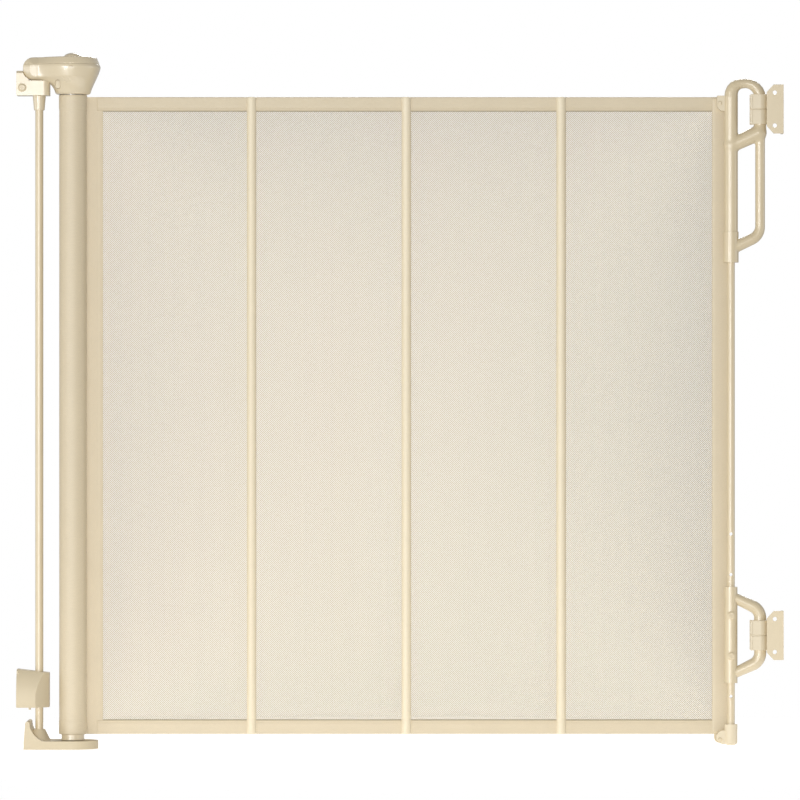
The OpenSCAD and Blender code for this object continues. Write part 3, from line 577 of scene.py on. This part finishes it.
def make_edge_sleeve():
    """The flat cloth tube round the sheet's edge bar, with rounded corners at its fold and a sewn lip."""
    low, high = EDGE_LOW, EDGE_HIGH
    corner_r, fold_r, lip = 9, 2.2, 2.6
    fold_x = high[0] + 3.2  # a little past the CAD sleeve, behind the pull rod
    half_t = (high[1] - low[1]) / 2 - 0.2
    rings, uv = [], []
    ends = [corner_r * (1 - math.cos(a)) for a in np.linspace(0, math.pi / 2, 9)]
    zs = [low[2] + e for e in ends] + list(np.arange(low[2] + corner_r + 6, high[2] - corner_r, 6))
    zs += [high[2] - e for e in ends[::-1]]
    for z in zs:
        to_end = min(z - low[2], high[2] - z, corner_r)
        cut = corner_r - math.sqrt(max(corner_r**2 - (corner_r - to_end) ** 2, 0))
        right = fold_x - cut
        thick = half_t * min(1, 0.45 + to_end / 4)
        ring = []
        for a in np.linspace(-math.pi / 2, math.pi / 2, 9):
            ring.append((right - fold_r + fold_r * math.cos(a), SHEET_Y + thick * math.sin(a), z))
        # the flat part and the lip: each point's distance from the left edge and share of the thickness
        flat_part = [(lip + 3, 1), (lip + 1, 0.96), (lip, 0.88), (0.3, 0.85)]
        ring += [(low[0] + d, SHEET_Y + thick * s, z) for d, s in flat_part]
        ring += [(low[0] + d, SHEET_Y - thick * s, z) for d, s in flat_part[::-1]]
        rings.append(ring)
        lengths = np.cumsum([0] + [math.dist(ring[i], ring[i + 1]) for i in range(len(ring) - 1)])
        uv.append([(length, z) for length in lengths])
    points, faces, uv = loft(rings, uv)
    sleeve = piece("edge_sleeve_cloth", points, faces[:-2], "pull_bar", "solid_cloth", None, uv)
    wall = sleeve.modifiers.new("cloth thickness", "SOLIDIFY")
    wall.thickness = 0.6 * MM
    wall.offset = -1
    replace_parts(sleeve, "edge_sleeve")
    points, faces, uv = stitches(2, low[2] + 2, high[2] - 2, low[0] + lip / 2, half_t * 0.3)
    row = piece("edge_sleeve_stitches", points, faces, "pull_bar", "solid_cloth", STITCH_YARN, uv)


def turned(profile, x, y, sides, wobble=None):
    """Turns a closed (radius, z) profile about an upright axis. The UV map is in mm, round and up."""
    rings, uv = [], []
    widest = max(r for r, _ in profile)
    for i in range(sides):
        a = 2 * math.pi * i / sides
        ring = []
        for r, z in profile:
            r_here = r + (wobble(a, z) if wobble else 0)
            ring.append((x + r_here * math.cos(a), y + r_here * math.sin(a), z))
        rings.append(ring)
        uv.append([(widest * a, z) for _, z in profile])
    return loft(rings, uv, closed=True)


def make_wrap():
    """The sheet's turns on the roller: the outer turn, thicker where its hems lie one on another."""
    low, high = corners("sheet_wrap")
    inner, outer = 15.3, WRAP_R - 0.05
    hem_step, ease, edge_r = 0.45, 0.45, 0.9

    def radius(z):
        into = min(z - low[2], high[2] - z)
        return outer - hem_step / (1 + math.exp(-(into - HEM_H) / ease))

    zs = [low[2] + edge_r + (HEM_H - edge_r) * t for t in np.linspace(0, 0.9, 6)]
    zs += [low[2] + HEM_H + t for t in np.linspace(-1.6, 1.6, 9)]
    rise = list(zs) + list(np.linspace(low[2] + HEM_H + 8, high[2] - HEM_H - 8, 60))
    rise += [low[2] + high[2] - z for z in zs[::-1]]
    turns = np.linspace(0, math.pi / 2, 4)
    corner = [(edge_r * (1 - math.cos(a)), edge_r * (1 - math.sin(a))) for a in turns]
    profile = [(inner, low[2])] + [(outer - dr, low[2] + dz) for dr, dz in corner[::-1]]
    profile += [(radius(z), z) for z in rise[1:-1]]
    profile += [(outer - dr, high[2] - dz) for dr, dz in corner] + [(inner, high[2])]

    def wobble(a, z):
        return -0.05 * (1 + math.sin(3 * a + z / 90) * math.sin(z / 37))

    points, faces, uv = turned(profile, ROLLER_X, 0, 128, wobble)
    wrap = piece("rolled_sheet", points, faces, "roller", "solid_cloth", None, uv)
    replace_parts(wrap, "sheet_wrap")


def make_stiffeners():
    """The cloth sleeve round each stiffener, soft at its ends and not quite round."""
    for i in (1, 2, 3):
        node = f"stiffener_sleeve_{i}"
        low, high = corners(node)
        x, y, _ = middle(node)
        outer, inner, soft = half_size(node)[0] - 0.05, 4.65, 0.8
        turns = np.linspace(0, math.pi / 2, 5)
        profile = [(outer - soft * (1 - math.sin(a)), low[2] + soft * (1 - math.cos(a))) for a in turns]
        profile += [(outer, z) for z in np.linspace(low[2] + 8, high[2] - 8, 50)]
        profile += [(r, low[2] + high[2] - z) for r, z in profile[:5][::-1]]
        profile += [(inner, high[2] - 0.5), (inner, low[2] + 0.5)]

        def wobble(a, z):
            return 0.05 * math.sin(2 * a + z / 60) * math.sin(z / 23)

        points, faces, uv = turned(profile, x, y, 40, wobble)
        name, body = f"stiffener_cover_{i}", f"stiffener_{i}"
        sleeve = piece(name, points, faces, body, "solid_cloth", SLEEVE_CLOTH, uv)
        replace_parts(sleeve, node)


# ---- the post's head ----

def uneven_capsule(x, y, x_a, r_a, x_b, r_b):
    """Distance in plan to two discs on the X axis and the straight sides that touch both."""
    span = x_b - x_a
    lean = (r_a - r_b) / span
    rise = np.sqrt(1 - lean * lean)
    u, v = x - x_a, np.abs(y)
    k = u * rise - v * lean
    side = v * rise + u * lean - r_a
    beside_b = np.where(k > rise * span, np.hypot(u - span, v) - r_b, side)
    return np.where(k < 0, np.hypot(u, v) - r_a, beside_b)


def pill(x, z, half_w, half_h):
    """Distance to an upright slot with round ends, centred on the origin."""
    return np.hypot(x, np.maximum(np.abs(z) - (half_h - half_w), 0)) - half_w


def rounded_box(x, y, half_x, half_y, corner):
    """Distance in plan to a rectangle about the origin with round corners."""
    u, v = np.abs(x) - half_x + corner, np.abs(y) - half_y + corner
    return np.hypot(np.maximum(u, 0), np.maximum(v, 0)) + np.minimum(np.maximum(u, v), 0) - corner


def head_field(p):
    """The whole head, closed: a flared knob over the roller and an arm out to the rod."""
    x, y, z = p.T
    split, top = corners("head_body")[1][2], corners("head_cover")[1][2]
    foot = corners("head_body")[0][2]
    knob_r, neck_r = corners("head_body")[1][1], 22.6
    arm_r, arm_foot = 21, foot + 18
    arm_end_r = knob_r - 4

    # arm: a square end with round corners in plan, a round end from the side
    reach = ROLLER_X - ROD_X
    plan = uneven_capsule(x, y, ROD_X, arm_r, ROLLER_X, arm_end_r)
    plan = np.minimum(plan, rounded_box(x - ROD_X, y, arm_r, arm_r, 10))
    end_r = (top - arm_foot) / 2
    end_x, end_z = ROD_X - arm_r + end_r, arm_foot + end_r
    side = np.hypot(np.minimum(x - end_x, 0), z - end_z) - end_r

    # the arm's flat front panel, with a bevel above, below and round its end
    bevel_top, bevel_foot, bevel_end, bevel_depth = top - split, 4.3, 9.6, 8
    tip_x = end_x - np.sqrt(np.maximum(end_r**2 - (z - end_z) ** 2, 0))
    up_bevel = smooth_min((top - z) / bevel_top, (z - arm_foot) / bevel_foot, 0.1)
    up_bevel = smooth_min(up_bevel, (x - tip_x) / bevel_end, 0.3)
    half_depth = arm_r + np.clip(x - ROD_X, 0, reach) * (arm_end_r - arm_r) / reach
    front = 0.75 * (np.abs(y) - half_depth + bevel_depth * ramp(1 - up_bevel, 0.12))
    arm = smooth_max(smooth_max(plan, side, 1.2), front, 0.6)

    # the arm fades out inside the knob, a little past its axis
    arm_past_axis, fade = 6, 12
    arm = smooth_max(arm, 0.8 * (x - ROLLER_X - arm_past_axis), fade)

    # knob: a bowl that flares to its rim, with a bevel above
    rim, rim_bevel = split - 3.5, 0.42
    t = np.clip((z - foot) / (rim - foot), 0, 1)
    bowl = neck_r + (knob_r - neck_r) * (t + 0.9 * t * (1 - t) * (t - 0.5))
    knob = 0.93 * (np.hypot(x - ROLLER_X, y) - bowl + rim_bevel * ramp(z - rim, 1.5))
    knob = smooth_max(knob, foot - z, 3)
    return smooth_max(smooth_min(arm, knob, 13), z - top, 1.6)


def make_head():
    """The head as two hollow shells, with room for the tube, the lock window and the button."""
    wall, gap, tube_hole_r = 2.4, 0.05, 17
    (low, split_corner), (cover_low, high) = corners("head_body"), corners("head_cover")
    split = split_corner[2]
    mark, mark_half = middle("lock_indicator"), half_size("lock_indicator")
    button_r = half_size("release_button")[0]

    def shell(p):
        outer = head_field(p)
        return smooth_max(outer, -(outer + wall), 0.4)

    def body(p):
        x, y, z = p.T
        made = smooth_max(shell(p), z - split + gap, 0.3)
        # the hole for the tube stops 14 mm below the split; well_inside leaves the shell alone above that
        well_inside = -9
        tube_hole = np.where(z < split - 14, tube_hole_r - np.hypot(x - ROLLER_X, y), well_inside)
        made = smooth_max(made, tube_hole, 0.8)
        slot = pill(x - mark[0], z - mark[2], mark_half[0] + 0.2, mark_half[2] + 0.2)
        in_front = y + 12
        return smooth_max(made, -np.maximum(slot, in_front), 0.6)

    def cover(p):
        x, y, z = p.T
        made = smooth_max(shell(p), split + gap - z, 0.3)
        return smooth_max(made, button_r + 0.3 - np.hypot(x - ROLLER_X, y), 0.6)

    sculpt("head_housing", body, low, split_corner, 0.85, "post", "moulded_plastic", "head_body")
    sculpt("head_lid", cover, cover_low, high, 0.8, "post", "moulded_plastic", "head_cover")


# ---- the pull bar's welded handles ----

# the brace, the grip's foot and the lower loop's arms slant by 25 degrees, so the tubes bend by 65
ARM_TURN = 65
ARM_SLOPE = math.tan(math.radians(90 - ARM_TURN))


def in_bar_plane(points):
    """(x, z) pairs in the pull bar's own upright plane."""
    return np.array([(x, BAR_Y, z) for x, z in points], float)


def arc(x, z, radius, first, last, count):
    """Points on a circle in the bar's plane, from one angle to another in degrees, the first left out."""
    angles = np.radians(np.linspace(first, last, count + 1)[1:])
    return [(x + radius * math.cos(a), z + radius * math.sin(a)) for a in angles]


def make_handle():
    """The top loop, its welded brace and the hand grip, as one weldment with smooth fillets."""
    low, high = corners("handle_loop")
    grip_low, _ = corners("hand_grip")
    fillet = 3
    leg_x, loop_z = BAR_X + 38, high[2] - 25.2
    brace_z = loop_z - 62.5
    corner_z = brace_z + (leg_x - BAR_X) * ARM_SLOPE

    # the loop: up the bar, over in an arc with a squarer left shoulder, pressed thin at its crown, and down
    bar_r, leg_r, crown_r, left_swell, right_swell = 9, 8, 6.1, 2.6, 1.5
    arc_r, bends = (leg_x - BAR_X) / 2, 12
    loop = [(BAR_X, low[2]), (BAR_X, loop_z - 25), (BAR_X, loop_z)]
    loop_r = [bar_r, bar_r, bar_r]
    for i in range(1, bends + 1):
        a = math.pi * (1 - i / bends)
        square = 0.78 if a > math.pi / 2 else 1.0
        across = math.copysign(abs(math.cos(a)) ** square, math.cos(a))
        loop.append((BAR_X + arc_r * (1 + across), loop_z + arc_r * math.sin(a) ** square))
        swell = left_swell if i <= bends / 2 else right_swell
        loop_r.append(crown_r + swell * abs(math.cos(math.pi * i / bends)) ** 1.5)
    loop += [(leg_x, loop_z - 8), (leg_x, corner_z)]
    loop_r += [leg_r, leg_r]

    # the grip: on down from the loop's leg, round a bend and back to the bar
    grip_r, bend_tube_r, end_r = 6.35, 7.4, 7.9
    bend_r, foot_z = 18, loop_z - 168
    bend = arc(leg_x - bend_r, foot_z, bend_r, 0, -ARM_TURN, 8)
    reach = bend[-1][0] - BAR_X
    down = [(leg_x, corner_z), (leg_x, foot_z)] + bend + [(BAR_X, bend[-1][1] - reach * ARM_SLOPE)]
    down_r = [grip_r] + list(np.linspace(grip_r, bend_tube_r, len(bend) + 1)) + [end_r]

    # the brace: from the bar up to the loop's corner, ending a little inside the leg
    brace_r, short = 10.2, 2.4
    strut = [(BAR_X, brace_z), (leg_x - short, corner_z - short * ARM_SLOPE)]
    loop, down, strut = in_bar_plane(loop), in_bar_plane(down), in_bar_plane(strut)

    def field(p):
        brace = tube_field(p, strut, [brace_r - 1, brace_r])
        made = smooth_min(tube_field(p, loop, loop_r), brace, fillet)
        made = smooth_min(made, tube_field(p, down, down_r), fillet)
        return smooth_max(made, low[2] - p[:, 2], 1)

    low = np.minimum(low, grip_low)
    sculpt("handle_weldment", field, low, high, 0.9, "pull_bar", "painted_steel", "handle_loop", "hand_grip")


def make_lower_loop():
    """The lower loop: one bent tube, thinner where its two arms meet the sleeve on the bar."""
    low, high = corners("lower_loop")
    leg_r, end_r, bend_r, sleeve_r = 8, 6.6, 17, 8.3
    leg_x = high[0] - leg_r
    arm_z = [95.6, 198.2]
    cut = bend_r * math.tan(math.radians(ARM_TURN / 2))
    rise = (leg_x - BAR_X) * ARM_SLOPE
    ends = [arm_z[0] + rise + cut, arm_z[1] - rise - cut]
    path = [(BAR_X, arm_z[0])] + arc(leg_x - bend_r, ends[0], bend_r, -ARM_TURN - 1, 0, 10)
    path += arc(leg_x - bend_r, ends[1], bend_r, -1, ARM_TURN, 10) + [(BAR_X, arm_z[1])]
    path = in_bar_plane(path)
    radii = [end_r] + [leg_r] * (len(path) - 2) + [end_r]

    def field(p):
        made = tube_field(p, path, radii)
        inside = sleeve_r - np.hypot(p[:, 0] - BAR_X, p[:, 1] - BAR_Y)
        return smooth_max(made, inside, 0.5)

    sculpt("lower_loop_tube", field, low, high, 0.85, "pull_bar", "painted_steel", "lower_loop")


# ---- everything that keeps its own shape ----

def make_the_rest():
    """The remaining nodes, each with its edges rounded by about what moulding or pressing leaves."""
    rounded = {
        "top_mount_block": 1.2, "rod_clamp": 0.5, "foot_arm": 0.8, "top_sheet_clip": 0.9, "bottom_cap": 0.7,
        "handle_collar": 0.8, "lower_sleeve": 0.7, "lower_loop_bolts": 0.2, "rod_ferrule": 0.5,
        "release_button": 0.4, "catch_plate_top": 0.5, "catch_plate_bottom": 0.5, "catch_jaw_top": 0.35,
        "catch_jaw_bottom": 0.35, "catch_liner_top": 0.2, "catch_liner_bottom": 0.2, "lower_bearing": 0.5,
        "block_lock_screw": 0.3, "lock_indicator": 0.3,
    }
    # duller than the other painted pieces. The wall plate's corner shows in front of the clamp and matches it
    matt = ("edge_bar", "rod_clamp", "clamp_wall_plate", "foot_arm")
    taken = {name for obj in bpy.data.objects for name in obj.get("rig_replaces", [])}
    for node in sorted(frame["nodes"]):
        if node not in taken:
            refine(node, rounded.get(node, 0.25), MATT_COAT if node in matt else None)


# ---- the studio ----

def area_light(name, place, aim, size, power, shadow=True):
    """A rectangular light, turned to its aim and hidden from the camera. Places are in metres."""
    data = bpy.data.lights.new(name, "AREA")
    data.shape = "RECTANGLE"
    data.size, data.size_y = size
    data.energy = power
    data.use_shadow = shadow
    light = bpy.data.objects.new(name, data)
    light.location = place
    light.visible_camera = False
    light.rotation_mode = "QUATERNION"
    light.rotation_quaternion = (Vector(aim) - Vector(place)).to_track_quat("-Z", "Y")
    bpy.context.scene.collection.objects.link(light)


def make_studio():
    """Five soft lights and a white world, which lights less than it shows, and least from above."""
    low, high = CAD_BOX
    centre = (Vector(low) + Vector(high)) / 2
    # the key casts no shadow, so that the post doesn't darken the leader beside it
    area_light("key", (-2.9, -4.9, 0.6), centre, (0.9, 2.6), 125, shadow=False)
    area_light("front", (-0.4, -5.6, 0.6), centre, (1.3, 1.8), 72)
    area_light("side", (-5.5, -0.6, 0.6), centre, (2.0, 2.6), 32)
    area_light("rim", (5.4, -0.6, 0.8), centre, (2.0, 2.6), 28)
    area_light("back", (0.8, 4.2, 3.4), centre, (2.4, 1.6), 110)

    scene = bpy.context.scene
    scene.view_settings.view_transform = "Standard"
    scene.view_settings.look = "None"
    world = bpy.data.worlds.new("studio")
    scene.world = world
    world.use_nodes = True
    tree = world.node_tree
    sky = tree.nodes["Background"]
    seen = add(tree, "ShaderNodeLightPath").outputs["Is Camera Ray"]
    towards = add(tree, "ShaderNodeTexCoord").outputs["Generated"]
    height = add(tree, "ShaderNodeSeparateXYZ", {0: towards}).outputs[2]
    glow = add(tree, "ShaderNodeMapRange", {"Value": height, "To Min": 0.5, "To Max": 0.32}).outputs[0]
    strength = add(tree, "ShaderNodeMix", {0: seen, 2: glow, 3: 1.0}).outputs[0]
    tree.links.new(strength, sky.inputs["Strength"])
    sky.inputs["Color"].default_value = (1, 1, 1, 1)


def make_floor():
    """A pale disc that fades out before its rim, so that no edge shows through the net."""
    radius, sides, drop = 1.0, 64, 0.0002
    mesh = bpy.data.meshes.new("studio_floor")
    angles = [2 * math.pi * i / sides for i in range(sides)]
    ring = [(radius * math.cos(a), radius * math.sin(a), -drop) for a in angles]
    mesh.from_pydata(ring, [], [list(range(sides))])
    floor = bpy.data.objects.new("studio_floor", mesh)
    bpy.context.scene.collection.objects.link(floor)
    material, tree, shader = start("pale_floor")
    place = add(tree, "ShaderNodeTexCoord").outputs["Object"]
    shade = tint(tree, (0.93, 0.93, 0.93), spread(tree, noise(tree, place, 3, 2.0), 0.995, 1.005))
    tree.links.new(shade, shader.inputs["Base Color"])
    shader.inputs["Roughness"].default_value = 0.9
    shader.inputs["Specular IOR Level"].default_value = 0.1
    shader.inputs["Emission Color"].default_value = (1, 1, 1, 1)
    shader.inputs["Emission Strength"].default_value = 0.56
    away = add(tree, "ShaderNodeVectorMath", {0: place}, operation="LENGTH").outputs["Value"]
    inputs = {"Value": away, "From Min": 0.55, "From Max": 0.95, "To Min": 1.0, "To Max": 0.0}
    fade = add(tree, "ShaderNodeMapRange", inputs, interpolation_type="SMOOTHSTEP").outputs[0]
    tree.links.new(fade, shader.inputs["Alpha"])
    mesh.materials.append(material)


def make_camera():
    """Level with the middle of the gate and square to it, far enough off for a nearly flat view."""
    low, high = CAD_BOX
    data = bpy.data.cameras.new("camera")
    camera = bpy.data.objects.new("camera", data)
    distance, seen_width = 8.0, 1.044
    nudge_x, nudge_z = -0.0003, 0.0007
    data.sensor_width = 36
    data.lens = data.sensor_width * distance / seen_width
    data.clip_end = 100
    camera.location = ((low[0] + high[0]) / 2 + nudge_x, -distance, (low[2] + high[2]) / 2 + nudge_z)
    camera.rotation_euler = (math.pi / 2, 0, 0)
    bpy.context.scene.collection.objects.link(camera)
    bpy.context.scene.camera = camera


make_camera()
make_sheet()
make_edge_sleeve()
make_wrap()
make_stiffeners()
make_head()
make_handle()
make_lower_loop()
make_the_rest()
make_studio()
make_floor()
